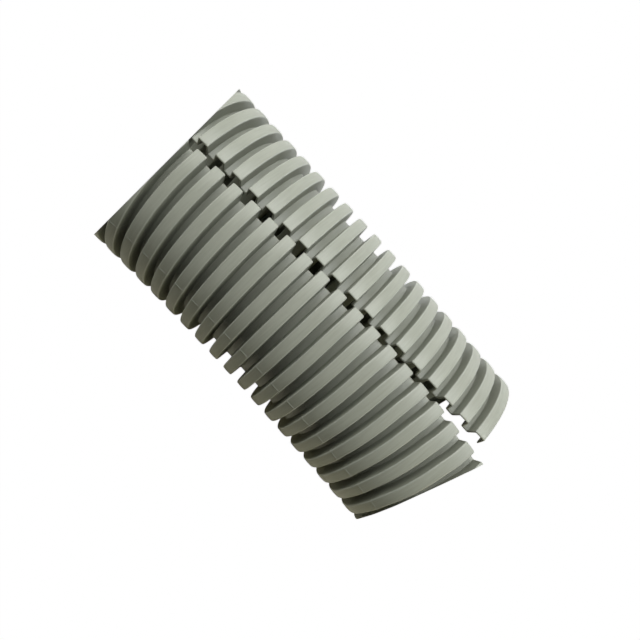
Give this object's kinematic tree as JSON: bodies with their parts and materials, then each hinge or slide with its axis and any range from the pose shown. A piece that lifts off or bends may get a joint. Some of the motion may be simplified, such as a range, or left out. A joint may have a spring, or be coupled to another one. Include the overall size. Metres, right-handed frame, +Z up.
{
  "type": "split loom tubing",
  "caption": "Short length of corrugated split loom tubing: a thin-walled grey plastic conduit slit from end to end, so that wires can be laid in from the side.",
  "frame": {"origin": "on the floor under the middle of the piece, at the bottom centre of its box", "axes": "+X along the tube towards its square end, where the slit gapes; +Z up, with the slit on top; the slit leans towards +Y"},
  "size_m": [0.1246, 0.059, 0.059],
  "materials": {
    "grey_plastic": "satin"
  },
  "bodies": {
    "root": {"loom_tube": "grey_plastic"}
  },
  "joints": []
}
